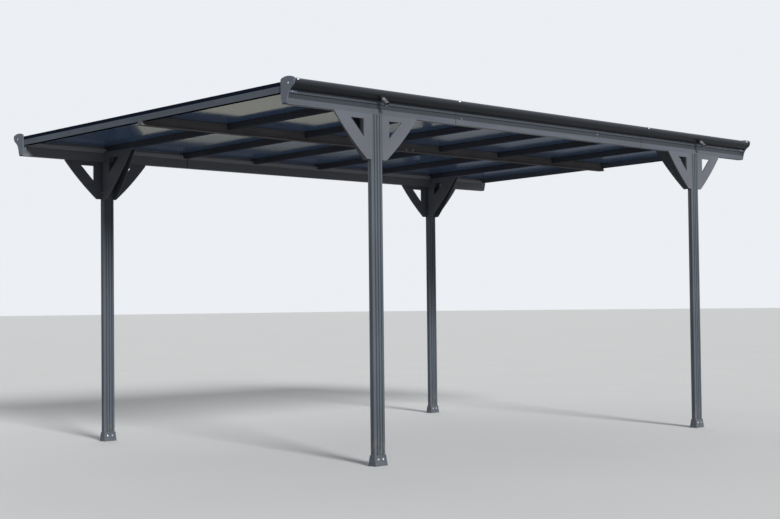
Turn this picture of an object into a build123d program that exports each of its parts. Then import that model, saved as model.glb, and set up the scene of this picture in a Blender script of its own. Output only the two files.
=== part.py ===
from build123d import *
import math
import os

os.makedirs("parts", exist_ok=True)

# Flat-roofed carport: four posts, two side beams with a gutter each, rafters, one centre
# purlin and seven roof panels. The roof falls gently from the near side (-Y) to the far side.
# The origin is on the ground under the middle of the roof. X runs along the long side.

# Plan
bay_pitch = 713.0
bay_count = 7
width_over_beams = 2828.0
post_bay_in = 1
beam_end_past_rafter = 20.0
splice_from_middle = 1050.0

# Heights
near_beam_height = 2142.0
roof_fall = 80.0

# Posts
post_width = 94.0
post_depth = 37.0
post_wall = 2.5
post_corner = 5.0
groove_count = 3
groove_width = 9.0
groove_depth = 2.5
side_groove_width = 12.0

# Feet
foot_length = 108.0
foot_depth = 63.0
foot_plate = 5.0
foot_step = 1.0
shoe_height = 66.0
shoe_wall = 2.5
anchor_spacing = 50.0
anchor_hole = 9.0
fit_gap = 0.3

# Side beams
beam_depth = 44.0
box_height = 66.0
beam_wall = 3.0
face_height = 34.0
groove_recess = 5.0
lip_reach = 3.0
lip_height = 21.0
bead_bottom = 66.0
bead_top = 100.0
bead_reach = 8.0

# Gutter roll, measured outwards from the beam face and up from the beam's bottom
roll_start = 16.0
roll_bottom = 86.0
roll_radius = 44.0
rim_radius = 14.0
rim_straight = 4.0
rim_return = 6.0
roll_wall = 2.5

# End caps, measured like the gutter roll
cap_plate = 6.0
cap_bevel = 3.0
cap_corner = 6.0
cap_outer_reach = 7.0
cap_inner_reach = 4.0
cap_shoulder = 151.0
cap_crown = 161.0
cap_hip = (25.0, 79.0)
cap_waist = (8.0, 45.0)
cap_toe = (-2.0, 5.0)
cap_jaw = 60.0
cap_tab = 2.0
outer_tab_length = 70.0
outer_tab_height = 17.0
inner_tab_length = 40.0
inner_tab_bottom = 20.0
inner_tab_top = 60.0

# Outlets
outlet_radius = 15.0
outlet_wall = 2.0
outlet_length = 65.0
outlet_angle = 45.0
outlet_inside = 2.0
outlet_root_step = 4.0
outlet_root_length = 6.0

# Rafters, purlin and panels, measured up from the beam's bottom line
rafter_bottom = 72.0
rafter_height = 39.0
rafter_width = 40.0
rafter_wall = 2.5
panel_thickness = 8.0
web_width = 6.0
panel_side_gap = 2.0
panel_over_gutter = 18.0
cover_width = 52.0
cover_height = 8.0
cover_bevel = 5.0
edge_cover_height = 23.0
edge_cover_lap = 28.0
edge_cover_skin = 2.5
purlin_drop = 24.0
purlin_width = 40.0
purlin_lip = 10.0
purlin_lip_height = 4.0
purlin_end = 3.0
lap_height = 92.0

# Brackets
bracket_reach = 312.0
bracket_drop = 276.0
bracket_toe = 38.0
bracket_tip = 6.0
bracket_sag = 9.0
side_plate = 10.0
flank_plate = 6.0
hole_leg = 112.0
hole_from_top = 32.0
hole_from_post = 63.0
cross_hole_from_rafter = 45.0

# Worked out
half_width = width_over_beams / 2
roof_slope = roof_fall / width_over_beams
far_beam_height = near_beam_height - roof_fall
half_bays = bay_count * bay_pitch / 2
half_beam = half_bays + beam_end_past_rafter
post_x = half_bays - post_bay_in * bay_pitch
rafter_top = rafter_bottom + rafter_height
inner_face = beam_depth + bead_reach
SIDES = {"near": -1, "far": 1}
ENDS = {"front": -1, "rear": 1}
beam_heights = {"near": near_beam_height, "far": far_beam_height}


def roof_height(y, above):
    # Height at y of a line that lies "above" over the bottoms of the two beams
    return near_beam_height + above - (y + half_width) * roof_slope


def save(part, name):
    part.label = name
    export_step(part, f"parts/{name}.step")


# Posts: extruded tubes with grooves down each face
def post_section():
    with BuildSketch() as section:
        RectangleRounded(post_width, post_depth, post_corner)
        Rectangle(post_width - 2 * post_wall - 2 * groove_depth,
                  post_depth - 2 * post_wall - 2 * groove_depth, mode=Mode.SUBTRACT)
        for face in (-1, 1):
            with Locations((0, face * post_depth / 2)):
                with GridLocations(post_width / (groove_count + 1), 1, groove_count, 1):
                    Rectangle(groove_width, 2 * groove_depth, mode=Mode.SUBTRACT)
            with Locations((face * post_width / 2, 0)):
                Rectangle(2 * groove_depth, side_groove_width, mode=Mode.SUBTRACT)
    return section.sketch


for end_name, end in ENDS.items():
    for side_name, side in SIDES.items():
        centre = (end * post_x, side * (half_width - post_depth / 2))
        height = beam_heights[side_name]
        with BuildPart() as post:
            with BuildSketch(Plane.XY.offset(foot_plate)):
                with Locations(centre):
                    add(post_section())
            extrude(amount=height - foot_plate)
        save(post.part, f"post_{end_name}_{side_name}")

        # Foot: a plate with a tapered shoe round the bottom of the post
        with BuildPart() as foot:
            with BuildSketch(Plane.XY):
                with Locations(centre):
                    Rectangle(foot_length, foot_depth)
            extrude(amount=foot_plate)
            with BuildSketch(Plane.XY.offset(foot_plate)):
                with Locations(centre):
                    Rectangle(foot_length - 2 * foot_step, foot_depth - 2 * foot_step)
            with BuildSketch(Plane.XY.offset(shoe_height)):
                with Locations(centre):
                    Rectangle(post_width + 2 * shoe_wall, post_depth + 2 * shoe_wall)
            loft(ruled=True)
            with BuildSketch(Plane.XY.offset(foot_plate)):
                with Locations(centre):
                    Rectangle(post_width + 2 * fit_gap, post_depth + 2 * fit_gap)
            extrude(amount=shoe_height, mode=Mode.SUBTRACT)
            with Locations((*centre, foot_plate)):
                with GridLocations(anchor_spacing, 0, 2, 1):
                    Hole(anchor_hole / 2)
        save(foot.part, f"foot_{end_name}_{side_name}")


# Brackets: triangles with a triangular hole, blunt at the post end
def bracket_outline(root, tip_top):
    # Local x runs away from the post, local y up from the beam's bottom line
    with BuildSketch() as outline:
        with BuildLine():
            Polyline((bracket_toe, -bracket_drop), (0, -bracket_drop), *root,
                     (bracket_reach, tip_top), (bracket_reach, tip_top - bracket_tip))
            SagittaArc((bracket_reach, tip_top - bracket_tip), (bracket_toe, -bracket_drop),
                       bracket_sag)
        make_face()
    return outline.sketch


def bracket_hole(top):
    with BuildSketch() as hole:
        with BuildLine():
            Polyline((hole_from_post, top), (hole_from_post + hole_leg, top),
                     (hole_from_post, top - hole_leg), close=True)
        make_face()
    return hole.sketch


def bracket_plan(inset):
    # From above: narrows from the post's width to the rafter's
    half_root = post_width / 2 - inset
    half_tip = rafter_width / 2 - inset
    with BuildSketch() as plan:
        with BuildLine():
            Polyline((inset, -half_root), (bracket_reach, -half_tip), (bracket_reach, half_tip),
                     (inset, half_root), close=True)
        make_face()
    return plan.sketch


for end_name, end in ENDS.items():
    for side_name, side in SIDES.items():
        height = beam_heights[side_name]
        # Along the beam: one plate each way, flush with the outer faces of post and beam
        with BuildPart() as side_brackets:
            for way in (-1, 1):
                corner = (end * post_x + way * post_width / 2, side * half_width, height)
                with BuildSketch(Plane(origin=corner, x_dir=(way, 0, 0), z_dir=(0, -way, 0))):
                    add(bracket_outline([(0, 0)], 0))
                    add(bracket_hole(-hole_from_top), mode=Mode.SUBTRACT)
                extrude(amount=side_plate * side * way)
        save(side_brackets.part, f"side_brackets_{end_name}_{side_name}")

        # Across: two flanks with a plate against the post and one under the rafter, notched
        # round the beam
        corner = (end * post_x, side * (half_width - post_depth), height)
        notch = inner_face - post_depth + fit_gap
        top_at_beam = rafter_bottom - fit_gap + side * (notch + post_depth) * roof_slope
        top_at_tip = rafter_bottom - fit_gap + side * (bracket_reach + post_depth) * roof_slope
        upright = Plane(origin=corner, x_dir=(0, -side, 0), z_dir=(-side, 0, 0))
        level = Plane(origin=corner, x_dir=(0, -side, 0), z_dir=(0, 0, 1)).offset(-bracket_drop)
        with BuildPart() as cross_bracket:
            with BuildSketch(level):
                add(bracket_plan(0))
                add(bracket_plan(flank_plate), mode=Mode.SUBTRACT)
            extrude(amount=bracket_drop + rafter_top)
            with BuildSketch(upright):
                with BuildLine():
                    Polyline((notch, top_at_beam), (bracket_reach, top_at_tip),
                             (bracket_reach, top_at_tip - flank_plate),
                             (notch, top_at_beam - flank_plate), close=True)
                make_face()
            extrude(amount=post_width / 2, both=True)
            with BuildSketch(upright):
                add(bracket_outline([(0, -fit_gap), (notch, -fit_gap), (notch, top_at_beam)],
                                    top_at_tip))
                add(bracket_hole(top_at_beam - cross_hole_from_rafter), mode=Mode.SUBTRACT)
            extrude(amount=post_width / 2, both=True, mode=Mode.INTERSECT)
            with BuildSketch(level):
                add(bracket_plan(0))
            extrude(amount=bracket_drop + rafter_top, mode=Mode.INTERSECT)
        save(cross_bracket.part, f"cross_bracket_{end_name}_{side_name}")


# Side beams: a box with a grooved face, and the gutter that rises from it as one profile
roll_centre = (roll_start, roll_bottom + roll_radius)
roll_outer = roll_start + roll_radius
rim_bottom = roll_centre[1] + rim_straight
rim_top = rim_bottom + rim_radius
rim_inner = roll_outer - rim_radius


def beam_plane(side_name, x):
    # Local x points outwards from the beam's face, local y up from its bottom
    side = SIDES[side_name]
    origin = (x, side * half_width, beam_heights[side_name])
    return Plane(origin=origin, x_dir=(0, side, 0), z_dir=(side, 0, 0))


def gutter_wall_arc(radius):
    CenterArc(roll_centre, radius, -90, 90)


def rim_arc(radius):
    CenterArc((rim_inner, rim_bottom), radius, 0, 90)


def beam_section(side):
    lip_inside = lip_reach - roll_wall
    lip_bottom = roll_bottom - lip_height
    # The upstand stops under the sloping panels, at its lower edge
    lower_edge = beam_depth if side < 0 else beam_depth - beam_wall
    upstand_top = rafter_top + side * lower_edge * roof_slope
    with BuildSketch() as section:
        with BuildLine():
            Polyline((lip_inside, box_height), (-beam_depth + beam_wall, box_height),
                     (-beam_depth + beam_wall, upstand_top), (-beam_depth, upstand_top),
                     (-beam_depth, bead_top))
            CenterArc((-beam_depth, bead_top - bead_reach), bead_reach, 90, 90)
            Polyline((-inner_face, bead_top - bead_reach), (-inner_face, bead_bottom),
                     (-beam_depth, bead_bottom),
                     (-beam_depth, 0), (0, 0), (0, face_height), (-groove_recess, face_height),
                     (-groove_recess, lip_bottom), (lip_reach, lip_bottom), (lip_reach, roll_bottom),
                     (roll_start, roll_bottom))
            gutter_wall_arc(roll_radius)
            Line((roll_outer, roll_centre[1]), (roll_outer, rim_bottom))
            rim_arc(rim_radius)
            Polyline((rim_inner, rim_top), (rim_inner - rim_return, rim_top),
                     (rim_inner - rim_return, rim_top - roll_wall), (rim_inner, rim_top - roll_wall))
            rim_arc(rim_radius - roll_wall)
            Line((roll_outer - roll_wall, rim_bottom), (roll_outer - roll_wall, roll_centre[1]))
            gutter_wall_arc(roll_radius - roll_wall)
            Polyline((roll_start, roll_bottom + roll_wall), (lip_inside, roll_bottom + roll_wall),
                     (lip_inside, box_height))
        make_face()
        hollow_width = beam_depth - 2 * beam_wall - groove_recess
        with Locations((-beam_depth + beam_wall, beam_wall)):
            Rectangle(hollow_width, box_height - 2 * beam_wall, align=(Align.MIN, Align.MIN),
                      mode=Mode.SUBTRACT)
    return section.sketch


def roll_axis(side_name, end):
    # The point on the axis of the roll where an outlet leaves it
    height = beam_heights[side_name] + roll_centre[1]
    return (end * post_x, SIDES[side_name] * (half_width + roll_start), height)


def outlet_axis(side_name, end):
    # Starts on the axis of the roll and points outwards and down
    turn = math.radians(outlet_angle)
    outwards = SIDES[side_name] * math.cos(turn)
    return Plane(origin=roll_axis(side_name, end), x_dir=(1, 0, 0),
                 z_dir=(0, outwards, -math.sin(turn)))


outlet_root = outlet_radius + outlet_root_step
BEAM_PARTS = {"front": (-half_beam, -splice_from_middle),
              "middle": (-splice_from_middle, splice_from_middle),
              "rear": (splice_from_middle, half_beam)}
for side_name, side in SIDES.items():
    for piece, (start, stop) in BEAM_PARTS.items():
        with BuildPart() as beam:
            with BuildSketch(beam_plane(side_name, start if side > 0 else stop)):
                add(beam_section(side))
            extrude(amount=stop - start)
            if piece in ENDS:
                with BuildSketch(outlet_axis(side_name, ENDS[piece])):
                    Circle(outlet_root + fit_gap)
                extrude(amount=roll_radius + roll_wall, mode=Mode.SUBTRACT)
        save(beam.part, f"{side_name}_beam_{piece}")

# Outlets: short pipes with a thicker root that leave the underside of the gutters at the posts
outlet_start = roll_radius - roll_wall - outlet_inside
with BuildPart() as gutter_outlets:
    for side_name in SIDES:
        for end in ENDS.values():
            axis = outlet_axis(side_name, end)
            with BuildSketch(axis.offset(outlet_start)):
                Circle(outlet_root)
            extrude(amount=roll_radius + outlet_root_length - outlet_start)
            with BuildSketch(axis.offset(outlet_start)):
                Circle(outlet_radius)
            extrude(amount=roll_radius + outlet_length - outlet_start)
            with BuildSketch(axis.offset(outlet_start)):
                Circle(outlet_radius - outlet_wall)
            extrude(amount=roll_radius + outlet_length - outlet_start, mode=Mode.SUBTRACT)
save(gutter_outlets.part, "gutter_outlets")

# End caps: moulded plates that close the beam and its gutter, with a domed top, a waisted
# outer edge and two tabs, one over the beam's lip and one on its inner face
cap_outer = roll_outer + cap_outer_reach
cap_inner = -inner_face - cap_inner_reach
cheek = (roll_radius + fit_gap) * math.cos(math.pi / 4)
cap_cheek = (roll_centre[0] + cheek, roll_centre[1] - cheek)
cap_shoulder_outer = (cap_outer - cap_corner / 2, rim_top)
for side_name, side in SIDES.items():
    for end_name, end in ENDS.items():
        outwards = end * side
        plane = beam_plane(side_name, end * half_beam)
        with BuildPart() as cap:
            with BuildSketch(plane):
                with BuildLine():
                    Polyline((cap_inner + cap_corner, cap_shoulder),
                             (cap_inner, cap_shoulder - cap_corner), (cap_inner, cap_jaw),
                             (-beam_depth, cap_toe[1]), cap_toe, cap_waist)
                    ThreePointArc(cap_waist, cap_hip, cap_cheek)
                    ThreePointArc(cap_cheek, (cap_outer, roll_centre[1]), cap_shoulder_outer)
                    ThreePointArc(cap_shoulder_outer, (0, cap_crown),
                                  (cap_inner + cap_corner, cap_shoulder))
                make_face()
            extrude(amount=cap_plate * outwards)
            front = cap.faces().sort_by(Axis.X)[0 if end < 0 else -1]
            chamfer(front.outer_wire().edges(), length=cap_bevel)
            with BuildSketch(plane):
                with Locations((lip_reach + fit_gap, roll_bottom - fit_gap)):
                    Rectangle(cap_tab, outer_tab_height, align=(Align.MIN, Align.MAX))
            extrude(amount=-outer_tab_length * outwards)
            with BuildSketch(plane):
                with Locations((-beam_depth - fit_gap, inner_tab_bottom)):
                    Rectangle(cap_tab, inner_tab_top - inner_tab_bottom,
                              align=(Align.MAX, Align.MIN))
            extrude(amount=-inner_tab_length * outwards)
        save(cap.part, f"end_cap_{end_name}_{side_name}")


# Rafters: hollow bars that follow the fall of the roof, with upright ends
def roof_plane(x, y, above):
    # Upright plane across the roof: local x along +X, local y up
    return Plane(origin=(x, y, roof_height(y, above)), x_dir=(1, 0, 0), z_dir=(0, -1, 0))


along_roof = (0, 1, -roof_slope)
slope_length = math.sqrt(1 + roof_slope ** 2)
rafter_run = 2 * (half_width - inner_face - fit_gap)
panel_bottom = rafter_top + fit_gap
panel_top = panel_bottom + panel_thickness
panel_run = 2 * (half_width - panel_over_gutter)


def extrude_along_roof(run, mode=Mode.ADD):
    extrude(amount=run * slope_length, dir=along_roof, mode=mode)


def rafter_place(number):
    return -half_bays + number * bay_pitch


for number in range(bay_count + 1):
    edge = number in (0, bay_count)
    names = {0: "front_rafter", bay_count: "rear_rafter"}
    with BuildPart() as rafter:
        with BuildSketch(roof_plane(rafter_place(number), -rafter_run / 2, rafter_bottom)):
            Rectangle(rafter_width, rafter_height, align=(Align.CENTER, Align.MIN))
            with Locations((0, rafter_wall)):
                Rectangle(rafter_width - 2 * rafter_wall, rafter_height - 2 * rafter_wall,
                          align=(Align.CENTER, Align.MIN), mode=Mode.SUBTRACT)
            if not edge:
                with Locations((0, rafter_height)):
                    Rectangle(web_width, fit_gap + panel_thickness, align=(Align.CENTER, Align.MIN))
        extrude_along_roof(rafter_run)
        notch_width = purlin_width + 2 * fit_gap
        with BuildSketch(Plane.XZ.offset(-notch_width / 2)):
            with Locations((rafter_place(number), roof_height(0, lap_height) + fit_gap)):
                Rectangle(2 * rafter_width, rafter_height, align=(Align.CENTER, Align.MAX))
        extrude(amount=notch_width, mode=Mode.SUBTRACT)
    save(rafter.part, names.get(number, f"rafter_{number}"))

# Centre purlin: a box with two lips and closed ends, slotted where the rafters cross it
purlin_bottom = roof_height(0, rafter_bottom - purlin_drop)
purlin_height = roof_height(0, rafter_top) - fit_gap - purlin_bottom
with BuildPart() as centre_purlin:
    with BuildSketch(Plane.YZ.offset(-half_beam)):
        with Locations((0, purlin_bottom)):
            Rectangle(purlin_width, purlin_height, align=(Align.CENTER, Align.MIN))
            Rectangle(purlin_width + 2 * purlin_lip, purlin_lip_height,
                      align=(Align.CENTER, Align.MIN))
    extrude(amount=2 * half_beam)
    with BuildSketch(Plane.YZ.offset(-half_beam + purlin_end)):
        with Locations((0, purlin_bottom + purlin_lip_height)):
            Rectangle(purlin_width - 2 * rafter_wall, purlin_height - 2 * purlin_lip_height,
                      align=(Align.CENTER, Align.MIN))
    extrude(amount=2 * (half_beam - purlin_end), mode=Mode.SUBTRACT)
    for number in range(bay_count + 1):
        with Locations((rafter_place(number), 0, roof_height(0, lap_height))):
            Box(rafter_width + 2 * fit_gap, 2 * purlin_width, rafter_height,
                align=(Align.CENTER, Align.CENTER, Align.MIN), mode=Mode.SUBTRACT)
save(centre_purlin.part, "centre_purlin")

# Roof panels: one twin-wall sheet in each bay, from gutter to gutter
edge_line = half_bays + rafter_width / 2 - edge_cover_skin - fit_gap
for number in range(bay_count):
    left = rafter_place(number) + web_width / 2 + panel_side_gap
    right = rafter_place(number + 1) - web_width / 2 - panel_side_gap
    if number == 0:
        left = -edge_line
    if number == bay_count - 1:
        right = edge_line
    with BuildPart() as panel:
        with BuildSketch(roof_plane((left + right) / 2, -panel_run / 2, panel_bottom)):
            Rectangle(right - left, panel_thickness, align=(Align.CENTER, Align.MIN))
        extrude_along_roof(panel_run)
    save(panel.part, f"roof_panel_{number + 1}")

# Cover strips: bevelled bars that hold the panels down over each inner rafter
with BuildPart() as cover_strips:
    for number in range(1, bay_count):
        with BuildSketch(roof_plane(rafter_place(number), -panel_run / 2, panel_top + fit_gap)):
            with BuildLine():
                Polyline((-cover_width / 2, 0), (cover_width / 2, 0),
                         (cover_width / 2 - cover_bevel, cover_height),
                         (-cover_width / 2 + cover_bevel, cover_height), close=True)
            make_face()
        extrude_along_roof(panel_run)
save(cover_strips.part, "cover_strips")

# Edge covers: closed trims over the front and rear edges of the roof
with BuildPart() as edge_covers:
    for end in ENDS.values():
        face = end * half_beam
        with BuildSketch(roof_plane(face, -rafter_run / 2, rafter_top + fit_gap)):
            inwards = Align.MIN if end < 0 else Align.MAX
            Rectangle(edge_cover_skin, edge_cover_height, align=(inwards, Align.MIN))
            with Locations((0, panel_thickness + fit_gap)):
                Rectangle(edge_cover_lap, edge_cover_height - panel_thickness - fit_gap,
                          align=(inwards, Align.MIN))
        extrude_along_roof(rafter_run)
save(edge_covers.part, "edge_covers")
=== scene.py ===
import math

import bmesh
import bpy
from mathutils import Matrix, Vector


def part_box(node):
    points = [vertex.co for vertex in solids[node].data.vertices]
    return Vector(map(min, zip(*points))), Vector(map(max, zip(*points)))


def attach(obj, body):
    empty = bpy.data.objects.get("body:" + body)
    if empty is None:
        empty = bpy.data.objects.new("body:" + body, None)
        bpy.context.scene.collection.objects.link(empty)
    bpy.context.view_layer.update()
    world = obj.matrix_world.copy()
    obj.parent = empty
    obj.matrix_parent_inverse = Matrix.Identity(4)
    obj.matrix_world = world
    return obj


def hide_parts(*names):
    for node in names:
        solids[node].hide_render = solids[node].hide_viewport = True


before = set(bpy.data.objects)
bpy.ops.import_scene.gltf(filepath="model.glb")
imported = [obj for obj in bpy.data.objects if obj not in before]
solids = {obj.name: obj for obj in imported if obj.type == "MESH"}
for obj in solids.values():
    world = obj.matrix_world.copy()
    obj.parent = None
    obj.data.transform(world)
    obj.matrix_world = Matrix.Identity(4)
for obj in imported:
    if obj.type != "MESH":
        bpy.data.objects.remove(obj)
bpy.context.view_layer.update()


# Posts. Four extruded aluminium tubes with grooves down each face, powder coated in anthracite
# and stood in their feet. Rain leaves faint runs down them and splashes their lower ends.
class Shade:
    """A value in a finish's node tree: arithmetic on it adds the nodes for that arithmetic."""

    def __init__(self, tree, socket):
        self.tree = tree
        self.socket = socket

    def node(self, kind, settings, values, output=0):
        """Adds one node: its settings first, then a number, colour or Shade for each socket."""
        made = self.tree.nodes.new(kind)
        for name, setting in settings.items():
            setattr(made, name, setting)
        for name, value in values.items():
            if isinstance(value, Shade):
                self.tree.links.new(value.socket, made.inputs[name])
            else:
                made.inputs[name].default_value = value
        return Shade(self.tree, made.outputs[output])

    def maths(self, operation, first, second):
        return self.node("ShaderNodeMath", {"operation": operation}, {0: first, 1: second})

    def __add__(self, other):
        return self.maths("ADD", self, other)

    def __radd__(self, other):
        return self.maths("ADD", other, self)

    def __sub__(self, other):
        return self.maths("SUBTRACT", self, other)

    def __rsub__(self, other):
        return self.maths("SUBTRACT", other, self)

    def __mul__(self, other):
        return self.maths("MULTIPLY", self, other)

    def __rmul__(self, other):
        return self.maths("MULTIPLY", other, self)

    def __abs__(self):
        return self.maths("ABSOLUTE", self, 0.0)

    def rise(self, low, high):
        """0 at low and 1 at high, with a soft step between them."""
        return self.node("ShaderNodeMapRange", {"interpolation_type": "SMOOTHSTEP"},
                         {"Value": self, 1: low, 2: high})

    def stretch(self, x, y, z):
        return self.node("ShaderNodeVectorMath", {"operation": "MULTIPLY"}, {0: self, 1: (x, y, z)})

    def axis(self, number):
        return self.node("ShaderNodeSeparateXYZ", {}, {0: self}, number)

    def noise(self, scale, detail=3.0):
        return self.node("ShaderNodeTexNoise", {},
                         {"Vector": self, "Scale": scale, "Detail": detail})

    def tint(self, first, second):
        """The first colour where this mask is 0 and the second where it is 1."""
        return self.node("ShaderNodeMix", {"data_type": "RGBA"}, {0: self, 6: first, 7: second}, 2)

    def bump(self, depth):
        """Turns a height between 0 and 1 into a normal, with the relief in metres."""
        return self.node("ShaderNodeBump", {}, {"Height": self, "Distance": depth, "Strength": 1.0})


def colour(red, green, blue):
    """A colour read as 0 to 255 on a screen, as the linear values that a shader takes."""
    screen = [part / 255 for part in (red, green, blue)]
    linear = [part / 12.92 if part < 0.04045 else ((part + 0.055) / 1.055) ** 2.4
              for part in screen]
    return (*linear, 1.0)


def start_finish(name):
    """A new material, its shader, the place on the piece and the way its surface faces."""
    material = bpy.data.materials.new(name)
    material.use_nodes = True
    tree = material.node_tree
    shader = tree.nodes["Principled BSDF"]
    empty = Shade(tree, None)
    place = empty.node("ShaderNodeTexCoord", {}, {}, "Object")
    facing = empty.node("ShaderNodeNewGeometry", {}, {}, "Normal")
    return material, shader, place, facing


def feed(shader, **sockets):
    """Links Shades to a shader's sockets and writes plain numbers on them: Base_Color=..."""
    for name, value in sockets.items():
        socket = shader.inputs[name.replace("_", " ")]
        if isinstance(value, Shade):
            value.tree.links.new(value.socket, socket)
        else:
            socket.default_value = value


def dress(names, finish):
    """Gives a finish to the solids that keep their own shape."""
    for name in names:
        solids[name].data.materials.clear()
        solids[name].data.materials.append(finish)


def powder_coat(name, paint, dust, along, grime=None, dark=None, gloss=0.42):
    """Powder coat: orange peel, faint draw lines along an extrusion's axis and dust on top faces.
    A plate has no such axis. grime marks where it is dusty besides, and dark lists masks with
    the paint that each shows; some of these paint shade in and some paint light in."""
    material, shader, place, facing = start_finish(name)
    lines_apart = [2.0 if axis == along else 330.0 for axis in "XYZ"]
    draw_lines = place.stretch(*lines_apart).noise(1.0, 2.0)
    cloud = place.noise(2.3)
    speck = place.noise(55.0, 4.0)
    peel = place.noise(520.0, 2.0)
    shaded, lit = ((*(part * share for part in paint[:3]), 1.0) for share in (0.80, 1.16))
    base = (cloud * 0.55 + draw_lines * 0.45).rise(0.3, 0.7).tint(shaded, lit)
    upward = facing.axis(2).rise(0.35, 0.95)
    settled = (upward * speck.rise(0.36, 0.72)) * 0.55
    if grime is not None:
        settled = settled + grime(place)
    base = settled.tint(base, dust)
    for mask, shade in dark or []:
        base = mask(place, facing).tint(base, shade)
    rough = 0.40 + 0.16 * speck + 0.22 * settled
    relief = 0.55 * peel + 0.45 * draw_lines
    feed(shader, Base_Color=base, Roughness=rough, Normal=relief.bump(0.00006),
         Specular_IOR_Level=gloss)
    return material


anthracite = colour(80, 87, 95)
pale_dust = colour(128, 126, 120)
post_low, post_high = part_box("post_rear_near")
post_middle_y = abs(post_low.y + post_high.y) / 2
groove_shoulder = 0.0008
groove_wall = 0.0010
groove_start = (post_high.y - post_low.y) / 2 - groove_shoulder
splash_top, splash_full = 0.30, 0.02
runs_end, runs_full = 0.4, 2.0


def post_grime(place):
    """Splash above the feet, and thin rain runs that fade on their way down from the beams."""
    height = place.axis(2)
    low = height.rise(splash_top, splash_full)
    splash = low * place.stretch(60, 60, 24).noise(1.0, 5.0).rise(0.42, 0.66)
    streaks = place.stretch(85, 85, 0.9).noise(1.0, 3.0).rise(0.60, 0.74)
    runs = streaks * height.rise(runs_end, runs_full)
    return splash * 0.45 + runs * 0.16


def groove_shade(place, facing):
    """1 on the floors of the grooves down the two wide faces, painted darker for the shade in them.
    """
    from_middle = abs(abs(place.axis(1)) - post_middle_y)
    inside = from_middle.rise(groove_start, groove_start - groove_wall)
    return (inside * abs(facing.axis(1)).rise(0.4, 0.8)) * 0.72


post_coat = powder_coat("post_coat", anthracite, pale_dust, "Z", post_grime,
                        [(groove_shade, colour(40, 44, 50))])
post_names = [name for name in solids if name.startswith("post_")]
dress(post_names, post_coat)


# Feet. Each post stands in a cast shoe with a flange round its base, screwed to the post through
# its two long faces. The coat is the posts' own, dustier, with grit along the flange.
grit_top, grit_full = 0.045, 0.002


def foot_grime(place):
    """Grit on the flange and the lowest part of the shoe, and a thin film everywhere."""
    height = place.axis(2)
    grit = place.noise(240.0, 5.0).rise(0.45, 0.62) * height.rise(grit_top, grit_full)
    film = place.noise(26.0, 4.0).rise(0.35, 0.75)
    return grit * 0.5 + film * 0.28


foot_coat = powder_coat("foot_coat", colour(76, 83, 92), colour(112, 110, 106), "Z", foot_grime)
foot_names = [name for name in solids if name.startswith("foot_")]
dress(foot_names, foot_coat)


def turned(profile, sides, flat_rings):
    """Points and faces of a profile of (radius, height) turned round Z. The first rings can be
    six-sided, as a socket for a key is."""
    points, faces = [], []
    for number, (radius, height) in enumerate(profile):
        for step in range(sides):
            flat = math.cos(math.pi / 6) if number < flat_rings and step % 2 else 1.0
            angle = 2 * math.pi * step / sides
            reach = radius * flat
            points.append((reach * math.cos(angle), reach * math.sin(angle), height))
    for ring in range(len(profile) - 1):
        for step in range(sides):
            here, after = ring * sides, (ring + 1) * sides
            onward = (step + 1) % sides
            faces.append((here + onward, here + step, after + step, after + onward))
    last = (len(profile) - 1) * sides
    faces.append(tuple(range(sides)))
    faces.append(tuple(range(last, last + sides)))
    return points, faces


def make_piece(name, points, faces, finish=None):
    """A mesh object in the model's own frame, linked to the scene, with its faces outwards."""
    mesh = bpy.data.meshes.new(name)
    mesh.from_pydata(points, [], faces)
    shape = bmesh.new()
    shape.from_mesh(mesh)
    bmesh.ops.recalc_face_normals(shape, faces=shape.faces)
    shape.to_mesh(mesh)
    shape.free()
    if finish is not None:
        mesh.materials.append(finish)
    piece = bpy.data.objects.new(name, mesh)
    bpy.context.scene.collection.objects.link(piece)
    return piece


def open_tree(name, labels):
    """A new Geometry Nodes tree with named inputs, its input and output nodes and their sockets."""
    tree = bpy.data.node_groups.new(name, "GeometryNodeTree")
    keys = {}
    for label, kind in labels.items():
        keys[label] = tree.interface.new_socket(label, in_out="INPUT", socket_type=kind).identifier
    tree.interface.new_socket("Result", in_out="OUTPUT", socket_type="NodeSocketGeometry")
    given = tree.nodes.new("NodeGroupInput")
    inputs = {label: Shade(tree, given.outputs[label]) for label in labels}
    return tree, inputs, keys


def close_tree(tree, instances, finish):
    """Ends a tree: the copies become real mesh, with their finish on them."""
    real = instances.node("GeometryNodeRealizeInstances", {}, {"Geometry": instances})
    dressed = real.node("GeometryNodeSetMaterial", {}, {"Geometry": real, "Material": finish})
    tree.links.new(dressed.socket, tree.nodes.new("NodeGroupOutput").inputs["Result"])


def run_tree(piece, tree, values):
    """Runs a tree on a piece and leaves its result there as a plain mesh."""
    modifier = piece.modifiers.new("set_out", "NODES")
    modifier.node_group = tree
    for key, value in values.items():
        modifier[key] = value
    evaluated = piece.evaluated_get(bpy.context.evaluated_depsgraph_get())
    result = bpy.data.meshes.new_from_object(evaluated)
    piece.modifiers.clear()
    piece.data = result
    return piece


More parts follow.
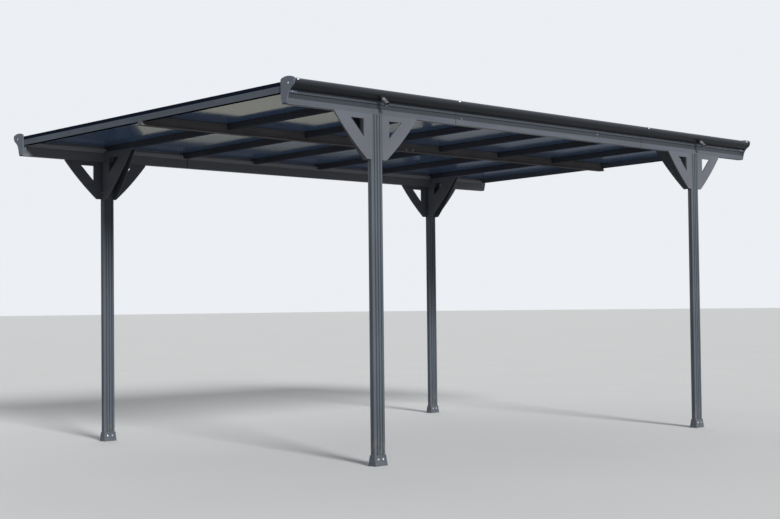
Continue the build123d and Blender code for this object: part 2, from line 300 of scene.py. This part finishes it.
def seat_copies(name, pattern, seats, finish, size=1.0):
    """Seats a pattern object at each (place, facing, spin), with its Z along the facing."""
    tree, given, keys = open_tree(name + "_seats", {
        "Seats": "NodeSocketGeometry", "Pattern": "NodeSocketObject", "Size": "NodeSocketFloat",
        "Finish": "NodeSocketMaterial"})
    shape = given["Pattern"].node("GeometryNodeObjectInfo", {"transform_space": "ORIGINAL"},
                                  {"Object": given["Pattern"]}, "Geometry")
    facing = shape.node("GeometryNodeInputNamedAttribute", {"data_type": "FLOAT_VECTOR"},
                        {"Name": "facing"}, "Attribute")
    spin = shape.node("GeometryNodeInputNamedAttribute", {"data_type": "FLOAT"},
                      {"Name": "spin"}, "Attribute")
    upright = shape.node("FunctionNodeAlignRotationToVector", {"axis": "Z"}, {"Vector": facing})
    about = shape.node("FunctionNodeAxisAngleToRotation", {}, {"Axis": (0, 0, 1), "Angle": spin})
    turned_about = shape.node("FunctionNodeRotateRotation", {"rotation_space": "LOCAL"},
                              {"Rotation": upright, "Rotate By": about})
    copies = shape.node("GeometryNodeInstanceOnPoints", {},
                        {"Points": given["Seats"], "Instance": shape, "Rotation": turned_about,
                         "Scale": given["Size"]})
    close_tree(tree, copies, given["Finish"])
    piece = make_piece(name, [place for place, _, _ in seats], [])
    marks = piece.data.attributes
    marks.new("facing", "FLOAT_VECTOR", "POINT")
    marks.new("spin", "FLOAT", "POINT")
    for number, (_, towards, angle) in enumerate(seats):
        marks["facing"].data[number].vector = towards
        marks["spin"].data[number].value = angle
    return run_tree(piece, tree, {keys["Pattern"]: pattern, keys["Size"]: size,
                                  keys["Finish"]: finish})


def steel(name, shine, grime):
    """Stainless steel as on a screw's head: bright, finely scratched, dull where dirt sits."""
    material, shader, place, _ = start_finish(name)
    scratch = place.noise(1400.0, 2.0)
    dull = place.noise(160.0, 3.0).rise(0.42, 0.70)
    feed(shader, Base_Color=(dull * 0.6).tint(shine, grime), Metallic=1.0 - 0.55 * dull,
         Roughness=0.27 + 0.16 * scratch + 0.22 * dull, Normal=scratch.bump(0.00002))
    return material


head_radius = 0.0052
head_height = 0.0032
socket_radius = 0.0021
socket_floor = 0.0014
washer_radius = 0.0078
washer_height = 0.0012
washer_sunk = 0.0004
head_profile = [
    (socket_radius, socket_floor), (socket_radius, head_height),
    (socket_radius * 1.5, head_height), (head_radius * 0.86, head_height * 0.78),
    (head_radius, washer_height * 1.4), (head_radius, washer_height),
    (washer_radius * 0.94, washer_height), (washer_radius, washer_height * 0.6),
    (washer_radius, -washer_sunk)]
head_sides = 12
socket_rings = 2
head_pattern = make_piece("screw_head", *turned(head_profile, head_sides, socket_rings))
golden_turn = 2.4
screw_steel = steel("screw_steel", colour(196, 198, 202), colour(104, 102, 98))


def drive_screws(name, seats, size=1.0):
    """Screw heads at each (place, facing), every one stopped at another angle."""
    turned_seats = [(place, towards, golden_turn * number)
                    for number, (place, towards) in enumerate(seats)]
    piece = seat_copies(name, head_pattern, turned_seats, screw_steel, size)
    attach(piece, "root")


screw_height = 0.040
screw_from_middle = 0.021
flange_height = 0.005
flange_step = 0.001
# The shoe's long faces lean in by 9.5 mm over its 61 mm
foot_flare = 9.5 / 61.0
foot_seats = []
for name in foot_names:
    low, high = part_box(name)
    middle = (low + high) / 2
    half_depth = (high.y - low.y) / 2 - flange_step - (screw_height - flange_height) * foot_flare
    for face in (-1, 1):
        for side in (-1, 1):
            across = middle.x + side * screw_from_middle
            place = (across, middle.y + face * half_depth, screw_height)
            foot_seats.append((place, (0, face, foot_flare)))
drive_screws("foot_screws", foot_seats)


# Side beams. Two grooved extrusions with a gutter rolled along their top, each butted from three
# lengths. The joints show as dark hairlines, and the roll's underside is painted black as shade.
joint_from_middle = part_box("near_beam_middle")[1].x
joint_half_width = 0.0038
beam_bottom = {-1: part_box("near_beam_middle")[0].z, 1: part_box("far_beam_middle")[0].z}
face_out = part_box("post_rear_far")[1].y


def on_beam(side, x, out, up):
    """A point on the near (-1) or far (1) beam, out from its face and up from its bottom."""
    return Vector((x, side * (face_out + out), beam_bottom[side] + up))


def beam_grime(place):
    """Faint drips down the faces."""
    drips = place.stretch(38, 38, 3.0).noise(1.0, 4.0).rise(0.55, 0.75)
    return drips * 0.14


def beam_seams(place, facing):
    """1 inside the dark hairlines where the three lengths of a beam meet."""
    from_joint = abs(abs(place.axis(0)) - joint_from_middle)
    return from_joint.rise(joint_half_width, joint_half_width * 0.5)


# How far out from the beams' faces each tint starts, and where it is full, in metres
neck_tint = (0.0004, 0.0040)
under_tint = (0.006, 0.014)
recess_tint, recess_end = (-0.0015, -0.0035), (-0.012, -0.008)
inner_tint = (-0.030, -0.036)
bead_tint = (-0.0445, -0.0475)


def beyond_face(place):
    """How far a point lies outside the beams' outer faces."""
    return abs(place.axis(1)) - face_out


def gutter_roll(place, facing):
    """1 on the gutter's roll and its neck, which stand darker than the flat faces under them."""
    return beyond_face(place).rise(*neck_tint) * 0.92


def roll_underside_shade(place, facing):
    """1 where the roll turns under, painted near black for the shade beneath it."""
    return beyond_face(place).rise(*under_tint) * facing.axis(2).rise(0.90, -0.55)


def recess_shade(place, facing):
    """1 on the floor of the broad groove along the outer face, painted darker for the shade under
    the lip.
    """
    out = beyond_face(place)
    return (out.rise(*recess_tint) * out.rise(*recess_end)) * 0.85


def inner_bounce_light(place, facing):
    """1 on the sheltered inner side, painted paler for the light thrown up onto it from the ground.
    """
    return beyond_face(place).rise(*inner_tint) * 0.9


def inner_bead_sheen(place, facing):
    """1 on the rounded bead along the inner face, painted paler for the sheen it catches."""
    return (beyond_face(place).rise(*bead_tint) * facing.axis(2).rise(-0.9, -0.2)) * 0.8


seam_dirt = colour(12, 12, 13)
beam_coat = powder_coat("beam_coat", colour(83, 88, 96), colour(98, 99, 100), "X", beam_grime,
                        [(gutter_roll, colour(56, 61, 70)), (roll_underside_shade, colour(3, 6, 11)),
                         (recess_shade, colour(36, 42, 48)), (inner_bounce_light, colour(112, 112, 116)),
                         (inner_bead_sheen, colour(156, 157, 160)), (beam_seams, seam_dirt)])
dress([name for name in solids if "_beam_" in name], beam_coat)

# One screw through the rim at each cap and joint, and two in the groove of the middle length
rim_centre = (0.046, 0.134)
rim_radius = 0.014
rim_screw_lift = math.radians(40)
rim_way = (math.cos(rim_screw_lift), math.sin(rim_screw_lift))
rim_screw_x = (2.484, joint_from_middle + 0.022)
rim_screw_size = 1.4
groove_screw_size = 0.55
groove_screws = ((-0.984, 0.043), (0.505, 0.055))
groove_depth = 0.005
rim_seats, groove_seats = [], []
for side in (-1, 1):
    for end in (-1, 1):
        for along in rim_screw_x:
            out, up = (centre + rim_radius * way for centre, way in zip(rim_centre, rim_way))
            place = on_beam(side, end * along, out, up)
            rim_seats.append((place, (0, side * rim_way[0], rim_way[1])))
    for along, up in groove_screws:
        groove_seats.append((on_beam(side, along, -groove_depth, up), (0, side, 0)))
drive_screws("rim_screws", rim_seats, rim_screw_size)
drive_screws("groove_screws", groove_seats, groove_screw_size)


# Gutter outlets. Moulded spouts clipped into the gutters' undersides, one at each post, with a
# saddle that follows the roll and a bead round the mouth. The plastic has gone a little chalky.
# The relief at the rim of an inset is in grains of the plastic
inset_relief = 18.0


def moulded(name, paint, chalk, gloss, inset=None, shine=0.5):
    """Moulded plastic: a fine grain all over, and chalky where the weather gets at it. inset is a
    mask and a colour for something let into it."""
    material, shader, place, facing = start_finish(name)
    grain = place.noise(900.0, 2.0)
    cloud = place.noise(9.0, 4.0)
    weather = (facing.axis(2).rise(-0.2, 1.0) * 0.6 + cloud * 0.5).rise(0.25, 0.95)
    base = (weather * 0.45).tint(paint, chalk)
    relief = grain
    if inset is not None:
        mask, shade = inset
        marked = mask(place)
        base = marked.tint(base, shade)
        feed(shader, Metallic=marked)
        relief = grain + inset_relief * marked
    feed(shader, Base_Color=base, Roughness=gloss + 0.14 * cloud + 0.16 * weather,
         Normal=relief.bump(0.00004), Specular_IOR_Level=shine)
    return material


roll_out = 0.016
roll_up = 0.130
roll_radius = 0.044
spout_slant = math.radians(45)
# Each ring: its radius, and its distance from the roll's axis or, where it follows the roll,
# above the roll
spout_profile = [
    (0.0130, 0.0405, False), (0.0130, 0.1075, False), (0.0136, 0.1086, False),
    (0.0147, 0.1088, False), (0.0156, 0.1080, False), (0.0160, 0.1062, False),
    (0.0158, 0.1042, False), (0.0150, 0.1030, False), (0.0149, 0.0990, False),
    (0.0149, 0.0570, False), (0.0178, 0.0566, False), (0.0184, 0.0556, False),
    (0.0186, 0.0046, True), (0.0226, 0.0040, True), (0.0240, 0.0026, True),
    (0.0242, 0.0004, True), (0.0190, 0.0002, True), (0.0188, 0.0405, False)]
spout_sides = 40
saddle_ring = 9


def spout(side, x):
    """Points and closed faces of one spout at x on the near (-1) or far (1) gutter."""
    centre = on_beam(side, x, roll_out, roll_up)
    away = Vector((0, side * math.cos(spout_slant), -math.sin(spout_slant)))
    around = Vector((0, side * math.sin(spout_slant), math.cos(spout_slant)))
    points, faces = [], []
    for radius, reach, follows in spout_profile:
        for step in range(spout_sides):
            angle = 2 * math.pi * step / spout_sides
            sideways, along = radius * math.sin(angle), radius * math.cos(angle)
            depth = reach
            if follows:
                depth = reach + math.sqrt(roll_radius ** 2 - sideways ** 2)
            points.append(centre + Vector((along, 0, 0)) + around * sideways + away * depth)
    rings = len(spout_profile)
    for ring in list(range(saddle_ring, rings)) + list(range(saddle_ring)):
        here, after = ring * spout_sides, (ring + 1) % rings * spout_sides
        for step in range(spout_sides):
            onward = (step + 1) % spout_sides
            faces.append((here + step, here + onward, after + onward, after + step))
    return points, faces


def join_shapes(shapes):
    """Several (points, faces) as one."""
    points, faces = [], []
    for shape_points, shape_faces in shapes:
        faces += [tuple(index + len(points) for index in face) for face in shape_faces]
        points += shape_points
    return points, faces


spout_plastic = moulded("spout_plastic", colour(70, 71, 74), colour(104, 104, 104), 0.30)
saddle_rubber = moulded("saddle_rubber", colour(10, 10, 11), colour(28, 28, 28), 0.55, shine=0.2)
post_x = (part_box("post_rear_near")[0].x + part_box("post_rear_near")[1].x) / 2
spout_shapes = [spout(side, end * post_x) for side in (-1, 1) for end in (-1, 1)]
spouts = make_piece("outlet_spouts", *join_shapes(spout_shapes), spout_plastic)
spouts.data.shade_smooth()
spouts.data.materials.append(saddle_rubber)
saddle_faces = (len(spout_profile) - saddle_ring) * spout_sides
for number, face in enumerate(spouts.data.polygons):
    if number % (len(spout_profile) * spout_sides) < saddle_faces:
        face.material_index = 1
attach(spouts, "root")
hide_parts("gutter_outlets")


# End caps. Moulded plates that close the beams and their gutters, a shade bluer than the coat,
# with a bevelled rim, the dull bloom of plastic that stands in the sun, and screws let into them.
cap_screw_out = 0.013
cap_screw_up = 0.120
cap_screw_radius = 0.0055
roof_slope = (beam_bottom[-1] - beam_bottom[1]) / (2 * face_out)
middle_height = (beam_bottom[-1] + beam_bottom[1]) / 2


def cap_screw(place):
    """1 on the head of the screw that is let into each cap's outer face."""
    across = abs(place.axis(1)) - (face_out + cap_screw_out)
    slope_there = roof_slope * face_out / (face_out + cap_screw_out)
    upwards = place.axis(2) + slope_there * place.axis(1) - (middle_height + cap_screw_up)
    from_middle = across * across + upwards * upwards
    return from_middle.rise(cap_screw_radius ** 2, (cap_screw_radius * 0.8) ** 2)


cap_plastic = moulded("cap_plastic", colour(88, 95, 107), colour(118, 126, 136), 0.44,
                      (cap_screw, colour(236, 237, 240)))
tab_out = 0.0053
outer_tab_screw = (0.034, 0.077)
inner_tab_depth = 0.0463
inner_tab_screw = (0.022, 0.053)
cap_names = [name for name in solids if name.startswith("end_cap_")]
dress(cap_names, cap_plastic)
outer_tab_seats, inner_tab_seats = [], []
for name in cap_names:
    end = -1 if "front" in name else 1
    side = -1 if "near" in name else 1
    beam_end = abs(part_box("front_rafter")[0].x) if end < 0 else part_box("rear_rafter")[1].x
    back, up = outer_tab_screw
    outer_tab_seats.append((on_beam(side, end * (beam_end - back), tab_out, up), (0, side, 0)))
    back, up = inner_tab_screw
    inner_tab_seats.append((on_beam(side, end * (beam_end - back), -inner_tab_depth, up),
                            (0, -side, 0)))
drive_screws("outer_tab_screws", outer_tab_seats, groove_screw_size)
drive_screws("inner_tab_screws", inner_tab_seats)


# Brackets. Flat plates along each beam and folded ones across under the rafters, all with a
# triangular window, screwed to the posts. Their plate is smooth, so the same powder coat looks a
# shade lighter on them than on the grooved extrusions.
bracket_coat = powder_coat("bracket_coat", colour(96, 99, 106), pale_dust, None, gloss=0.3)
dress([name for name in solids if "bracket" in name], bracket_coat)

# Two screws in the groove of each post's narrow faces, behind the toes of the brackets
toe_screw_drops = (0.228, 0.262)
toe_screw_size = 0.7
side_groove_depth = 0.0025
toe_seats = []
for name in post_names:
    low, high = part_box(name)
    middle = (low + high) / 2
    for way in (-1, 1):
        across = middle.x + way * ((high.x - low.x) / 2 - side_groove_depth)
        for drop in toe_screw_drops:
            toe_seats.append(((across, middle.y, high.z - drop), (way, 0, 0)))
drive_screws("toe_screws", toe_seats, toe_screw_size)


# Rafters and purlin. Box extrusions lapped into each other under the sheets, the inner rafters
# held to the beams by angle cleats. The coat is dry and clean on their sheltered faces.
def rafter_underside_shade(place, facing):
    """1 on the edge rafters' faces that look down, painted near black for the shade they stay in.
    """
    return facing.axis(2).rise(-0.5, -0.9)


def end_face(place, facing):
    """1 on the purlin's two closed ends, which show in the notches of the edge rafters."""
    return abs(facing.axis(0)).rise(0.6, 0.9)


rafter_coat = powder_coat("rafter_coat", colour(74, 78, 86), pale_dust, "Y", gloss=0.0)
purlin_coat = powder_coat("purlin_coat", colour(116, 113, 114), pale_dust, "X",
                          dark=[(end_face, colour(94, 101, 110))], gloss=0.0)
edge_rafter_coat = powder_coat("edge_rafter_coat", colour(94, 101, 110), pale_dust, "Y",
                               dark=[(rafter_underside_shade, colour(14, 17, 22))], gloss=0.0)
inner_names = sorted(name for name in solids if name.startswith("rafter_"))
dress(inner_names, rafter_coat)
dress(["front_rafter", "rear_rafter"], edge_rafter_coat)
dress(["centre_purlin"], purlin_coat)

# Screws through the purlin's flanks at its middle, and an angle cleat beside each rafter's ends
purlin_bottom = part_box("centre_purlin")[0].z
purlin_flank = 0.020
purlin_screw_x = 0.037
purlin_screw_up = 0.012
purlin_screw_size = 1.3
purlin_seats = []
for way in (-1, 1):
    for face in (-1, 1):
        place = (way * purlin_screw_x, face * purlin_flank, purlin_bottom + purlin_screw_up)
        purlin_seats.append((place, (0, face, 0)))
drive_screws("purlin_screws", purlin_seats, purlin_screw_size)

cleat_width = 0.024
cleat_reach = 0.034
cleat_height = 0.026
cleat_skin = 0.002
cleat_corner = 0.004


def cleat(hand):
    """A bent angle plate, drawn with Z out from the beam and Y up, to one hand of its rafter."""
    half = cleat_height / 2
    outline = [(0, 0), (cleat_width, 0), (cleat_width, cleat_skin),
               (cleat_skin + cleat_corner, cleat_skin), (cleat_skin, cleat_skin + cleat_corner),
               (cleat_skin, cleat_reach), (0, cleat_reach)]
    points = [(hand * x, y, z) for y in (-half, half) for x, z in outline]
    count = len(points) // 2
    faces = [tuple(range(count)), tuple(range(count, 2 * count))]
    for step in range(count):
        onward = (step + 1) % count
        faces.append((step, onward, count + onward, count + step))
    return points, faces


bead_face = 0.0522
cleat_up = 0.094
rafter_half = 0.0203
cleat_screw_across = cleat_width * 0.58
cleat_screw_drop = 0.004
cleat_seats, cleat_screw_seats = {-1: [], 1: []}, []
for name in inner_names:
    low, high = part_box(name)
    rafter_edge = (low.x + high.x) / 2 - rafter_half
    for side in (-1, 1):
        place = on_beam(side, rafter_edge, -bead_face, cleat_up)
        cleat_seats[side].append((place, (0, -side, 0), 0.0 if side > 0 else math.pi))
        screw = on_beam(side, rafter_edge - cleat_screw_across, -bead_face - cleat_skin,
                        cleat_up - cleat_screw_drop)
        cleat_screw_seats.append((screw, (0, -side, 0)))
for side, label in ((-1, "near"), (1, "far")):
    pattern = make_piece(f"cleat_shape_{label}", *cleat(-side))
    cleats = seat_copies(f"rafter_cleats_{label}", pattern, cleat_seats[side], rafter_coat)
    bpy.data.objects.remove(pattern)
    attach(cleats, "root")
drive_screws("cleat_screws", cleat_screw_seats)


# Roof panels. Twin-wall polycarbonate sheets in a smoky tint: two thin skins held apart by ribs
# that run down the fall, slid in between rafter and cover strip. Glossy, with a little haze.
def roof_line(y, above):
    """The height at y of a line that lies that far above the bottoms of the two beams."""
    return middle_height + above - y * roof_slope


def sloping_bar(left, right, start, stop, low, high):
    """A straight bar down the roof's fall, between two heights above the beams' bottoms."""
    points = [(x, y, roof_line(y, above)) for y in (start, stop) for x, above in (
        (left, low), (right, low), (right, high), (left, high))]
    faces = [(0, 1, 2, 3), (7, 6, 5, 4), (1, 0, 4, 5), (2, 1, 5, 6), (3, 2, 6, 7), (0, 3, 7, 4)]
    return points, faces


def set_in_row(name, unit, count, pitch, finish):
    """Repeats a unit along X, count times at that pitch, as one plain mesh piece."""
    tree, given, keys = open_tree(name + "_row", {
        "Unit": "NodeSocketGeometry", "Count": "NodeSocketInt", "Pitch": "NodeSocketFloat",
        "Finish": "NodeSocketMaterial"})
    step = given["Pitch"].node("ShaderNodeCombineXYZ", {}, {"X": given["Pitch"]})
    row = step.node("GeometryNodeMeshLine", {"mode": "OFFSET"},
                    {"Count": given["Count"], "Offset": step})
    copies = row.node("GeometryNodeInstanceOnPoints", {},
                      {"Points": row, "Instance": given["Unit"]})
    close_tree(tree, copies, given["Finish"])
    piece = make_piece(name, *unit)
    return run_tree(piece, tree, {keys["Count"]: count, keys["Pitch"]: pitch,
                                  keys["Finish"]: finish})


def smoky_sheet(name, sheet_colour, hazy_colour, daylight_through_colour):
    """Tinted clear plastic: glossy, faintly streaked down the ribs, with a bloom of dust on top,
    and painted paler and bluer on the faces below for the daylight that comes through it."""
    material, shader, place, facing = start_finish(name)
    streaks = place.stretch(48.0, 0.9, 1.0).noise(1.0, 2.0)
    haze = place.noise(1.7, 4.0)
    weathered = facing.axis(2).rise(0.3, 0.9)
    film = weathered * place.noise(2.6, 3.0).rise(0.30, 0.80)
    base = (haze * 0.6 + streaks * 0.4).rise(0.32, 0.68).tint(sheet_colour, hazy_colour)
    # The faces below are painted paler and bluer for the daylight that comes through the sheet.
    base = facing.axis(2).rise(-0.2, -0.8).tint(base, daylight_through_colour)
    base = (film * 0.28).tint(base, colour(104, 106, 108))
    feed(shader, Base_Color=base,
         Roughness=0.08 + 0.05 * haze + 0.03 * streaks + 0.34 * weathered + 0.10 * film,
         Alpha=0.76 + 0.06 * haze, Normal=streaks.bump(0.00004), IOR=1.5)
    return material


sheet_plastic = smoky_sheet("sheet_plastic", colour(46, 58, 76), colour(58, 72, 92),
                            colour(98, 126, 168))
skin = 0.0007
rib_thickness = 0.0005
rib_pitch = 0.0105
rib_inset = 0.0002
rib_sunk = 0.0005
sheet_count = 7
for number in range(1, sheet_count + 1):
    low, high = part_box(f"roof_panel_{number}")
    bottom = low.z - roof_line(high.y, 0)
    top = high.z - roof_line(low.y, 0)
    rib_count = round((high.x - low.x) / rib_pitch)
    rib = sloping_bar(low.x + rib_inset, low.x + rib_inset + rib_thickness, low.y + rib_inset,
                      high.y - rib_inset, bottom + rib_sunk, top - rib_sunk)
    pitch = (high.x - low.x - rib_thickness - 2 * rib_inset) / (rib_count - 1)
    ribs = set_in_row(f"sheet_ribs_{number}", rib, rib_count, pitch, sheet_plastic)
    skins = make_piece(f"twin_wall_sheet_{number}", *join_shapes([
        sloping_bar(low.x, high.x, low.y, high.y, bottom, bottom + skin),
        sloping_bar(low.x, high.x, low.y, high.y, top - skin, top)]), sheet_plastic)
    sheet = bmesh.new()
    sheet.from_mesh(skins.data)
    sheet.from_mesh(ribs.data)
    sheet.to_mesh(skins.data)
    sheet.free()
    bpy.data.objects.remove(ribs)
    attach(skins, "root")
    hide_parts(f"roof_panel_{number}")


# Seals. Black rubber lips along both top edges of each inner rafter, under the sheets, and under
# the rims of the cover strips above them.
rubber = moulded("seal_rubber", colour(20, 20, 21), colour(52, 52, 52), 0.62)
lip_inside = 0.0203
lip_outside = 0.0242
lip_drop = 0.0042
lip_gap = 0.0001
rim_lip_under = 0.001
rim_lip_out = 0.0018
rim_lip_gap = 0.00005
rim_lip_height = 0.0016
sheet_low, sheet_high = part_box("roof_panel_1")
sheet_bottom = sheet_low.z - roof_line(sheet_high.y, 0)
sheet_top = sheet_high.z - roof_line(sheet_low.y, 0)
inner_x = [(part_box(name)[0].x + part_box(name)[1].x) / 2 for name in inner_names]
rafter_low, rafter_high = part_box(inner_names[0])
strip_low, strip_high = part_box("cover_strips")
strip_half = inner_x[0] - strip_low.x
lips = []
for way in (-1, 1):
    left, right = sorted((inner_x[0] + way * lip_inside, inner_x[0] + way * lip_outside))
    lips.append(sloping_bar(left, right, rafter_low.y, rafter_high.y,
                            sheet_bottom - lip_drop, sheet_bottom - lip_gap))
    left, right = sorted((inner_x[0] + way * (strip_half - rim_lip_under),
                          inner_x[0] + way * (strip_half + rim_lip_out)))
    lips.append(sloping_bar(left, right, strip_low.y, strip_high.y,
                            sheet_top + rim_lip_gap, sheet_top + rim_lip_height))
seals = set_in_row("rafter_seals", join_shapes(lips), len(inner_x), inner_x[1] - inner_x[0],
                   rubber)
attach(seals, "root")


# Cover strips and edge covers. Pressed strips over the sheets' joints, and a dark trim that
# closes the roof's front and rear edges, all held down by a row of screws.
strip_coat = powder_coat("strip_coat", anthracite, pale_dust, "Y")
dress(["cover_strips"], strip_coat)
edge_trim = moulded("edge_trim", colour(24, 31, 46), colour(38, 44, 58), 0.50, shine=0.0)
dress(["edge_covers"], edge_trim)
strip_screw_pitch = 0.308
strip_screws_each_way = 4
strip_top = strip_high.z - roof_line(strip_low.y, 0)
edge_low, edge_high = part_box("edge_covers")
edge_top = edge_high.z - roof_line(edge_low.y, 0)
edge_screw_in = 0.014
top_lines = [(x, strip_top) for x in inner_x]
top_lines += [(edge_low.x + edge_screw_in, edge_top), (edge_high.x - edge_screw_in, edge_top)]
top_seats = []
for x, above in top_lines:
    for step in range(-strip_screws_each_way, strip_screws_each_way + 1):
        y = step * strip_screw_pitch
        top_seats.append(((x, y, roof_line(y, above)), (0, roof_slope, 1)))
drive_screws("roof_screws", top_seats)
bpy.data.objects.remove(head_pattern)


# Studio. A wide pale floor under an even pale surround, one low key lamp from the near front side
# and a weak one from behind. Floor and surround are pale only where they are seen or mirrored,
# and what is mirrored of the floor fades from cream to slate away from the object.
def ray_is(tree, kind):
    """1 for a ray of that kind and 0 for any other."""
    return Shade(tree, None).node("ShaderNodeLightPath", {}, {}, f"Is {kind} Ray")


def seen_or_mirrored(tree):
    """1 for what the camera, a mirroring or a clear surface sees, and 0 for light thrown up."""
    seen, glossed, through = (ray_is(tree, kind) for kind in ("Camera", "Glossy", "Transmission"))
    return seen.maths("MAXIMUM", seen.maths("MAXIMUM", seen, glossed), through)


floor_half = 300.0
behind_starts, behind_full = 4.0, 8.0
slate_starts, slate_full = 16.0, 19.6
corners = [(-floor_half, -floor_half, 0), (floor_half, -floor_half, 0),
           (floor_half, floor_half, 0), (-floor_half, floor_half, 0)]
material, shader, place, _ = start_finish("floor_paint")
pale_floor = place.noise(0.7, 3.0).tint(colour(226, 226, 224), colour(232, 232, 230))
# What the sheets mirror of the floor is painted reflection: pale just behind the object, cream
# further back and slate far off.
behind_object = place.axis(1).rise(behind_starts, behind_full)
far_off = (place.axis(0) + place.axis(1)).rise(slate_starts, slate_full)
far_floor = far_off.tint(colour(230, 225, 197), colour(88, 98, 112))
mirrored_floor = behind_object.tint(colour(200, 202, 206), far_floor)
dull_floor = colour(152, 150, 146)
shown_floor = ray_is(material.node_tree, "Glossy").tint(pale_floor, mirrored_floor)
feed(shader, Base_Color=seen_or_mirrored(material.node_tree).tint(dull_floor, shown_floor),
     Roughness=0.85, Specular_IOR_Level=0.1)
floor = make_piece("studio_floor", corners, [(0, 1, 2, 3)], material)

surround = bpy.data.worlds.new("surround")
surround.use_nodes = True
bpy.context.scene.world = surround
ambient = 0.30
background = surround.node_tree.nodes["Background"]
shown = seen_or_mirrored(surround.node_tree)
paleness = shown.tint(colour(226, 230, 238), colour(236, 239, 243))
surround.node_tree.links.new(paleness.socket, background.inputs["Color"])
strength = shown * (1.0 - ambient) + ambient
surround.node_tree.links.new(strength.socket, background.inputs["Strength"])


def soft_sun(name, towards, strength, spread):
    """A distant lamp with soft shadows, shining from that direction onto the object."""
    lamp = bpy.data.lights.new(name, "SUN")
    lamp.energy = strength
    lamp.angle = math.radians(spread)
    holder = bpy.data.objects.new(name, lamp)
    holder.rotation_mode = "QUATERNION"
    holder.rotation_quaternion = Vector(towards).to_track_quat("Z", "Y")
    bpy.context.scene.collection.objects.link(holder)


soft_sun("key_lamp", (-0.34, -0.93, 0.40), strength=3.5, spread=13)
soft_sun("rear_lamp", (0.8, 0.9, 0.7), strength=0.5, spread=60)

# The camera stands off the near front corner, just under a metre up, turned 46 degrees
camera_place = (-8.232, -7.722, 0.959)
camera_turn = math.radians(46.096)
camera_tilt = math.radians(1.874)
camera_roll = math.radians(-0.619)
frame_width = 780
focal_pixels = 1479.2
lens = bpy.data.cameras.new("camera")
lens.sensor_width = 36.0
lens.lens = focal_pixels * lens.sensor_width / frame_width
camera = bpy.data.objects.new("camera", lens)
camera.matrix_world = (Matrix.Translation(camera_place) @ Matrix.Rotation(-camera_turn, 4, "Z")
                       @ Matrix.Rotation(math.pi / 2 + camera_tilt, 4, "X")
                       @ Matrix.Rotation(camera_roll, 4, "Z"))
bpy.context.scene.collection.objects.link(camera)
bpy.context.scene.camera = camera
bpy.context.scene.view_settings.view_transform = "Standard"
